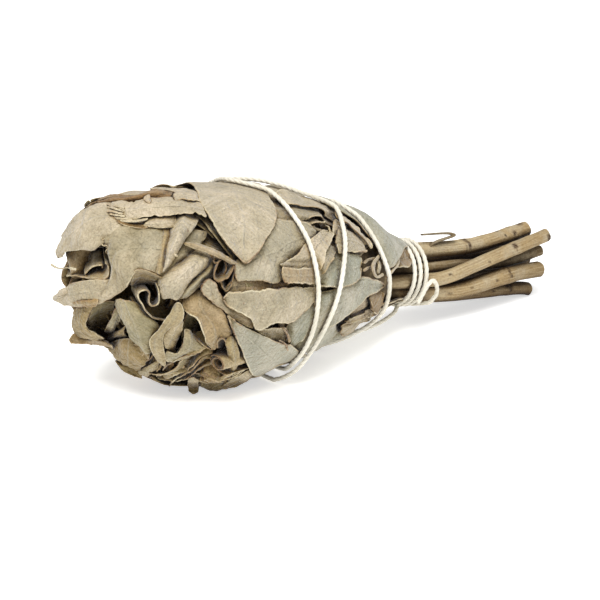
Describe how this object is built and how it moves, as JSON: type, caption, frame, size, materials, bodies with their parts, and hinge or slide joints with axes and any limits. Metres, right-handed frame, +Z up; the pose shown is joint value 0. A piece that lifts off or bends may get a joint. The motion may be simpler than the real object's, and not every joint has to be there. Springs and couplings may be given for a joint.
{
  "type": "dried sage bundle",
  "caption": "Dried white sage leaves and stems packed into a short club and bound with cotton string, lying on its side.",
  "frame": {"origin": "middle of the small flat spot under the leafy head, on the surface the bundle lies on", "axes": "+Z up from the surface, +X along the bundle from the leafy head to the cut stems, -Y towards the side where the curled leaf ends show"},
  "size_m": [0.1422, 0.0476, 0.0485],
  "materials": {
    "dried_leaf": "matte, finely felted grey-green to straw",
    "dried_stem": "dry bark, tan to brown",
    "cotton_string": "plied undyed cotton"
  },
  "bodies": {
    "root": {"leaves": "dried_leaf", "stem_1": "dried_stem", "stem_2": "dried_stem", "stem_3": "dried_stem", "stem_4": "dried_stem", "stem_5": "dried_stem", "stem_6": "dried_stem", "stem_7": "dried_stem", "stem_8": "dried_stem", "string": "cotton_string"}
  },
  "joints": []
}
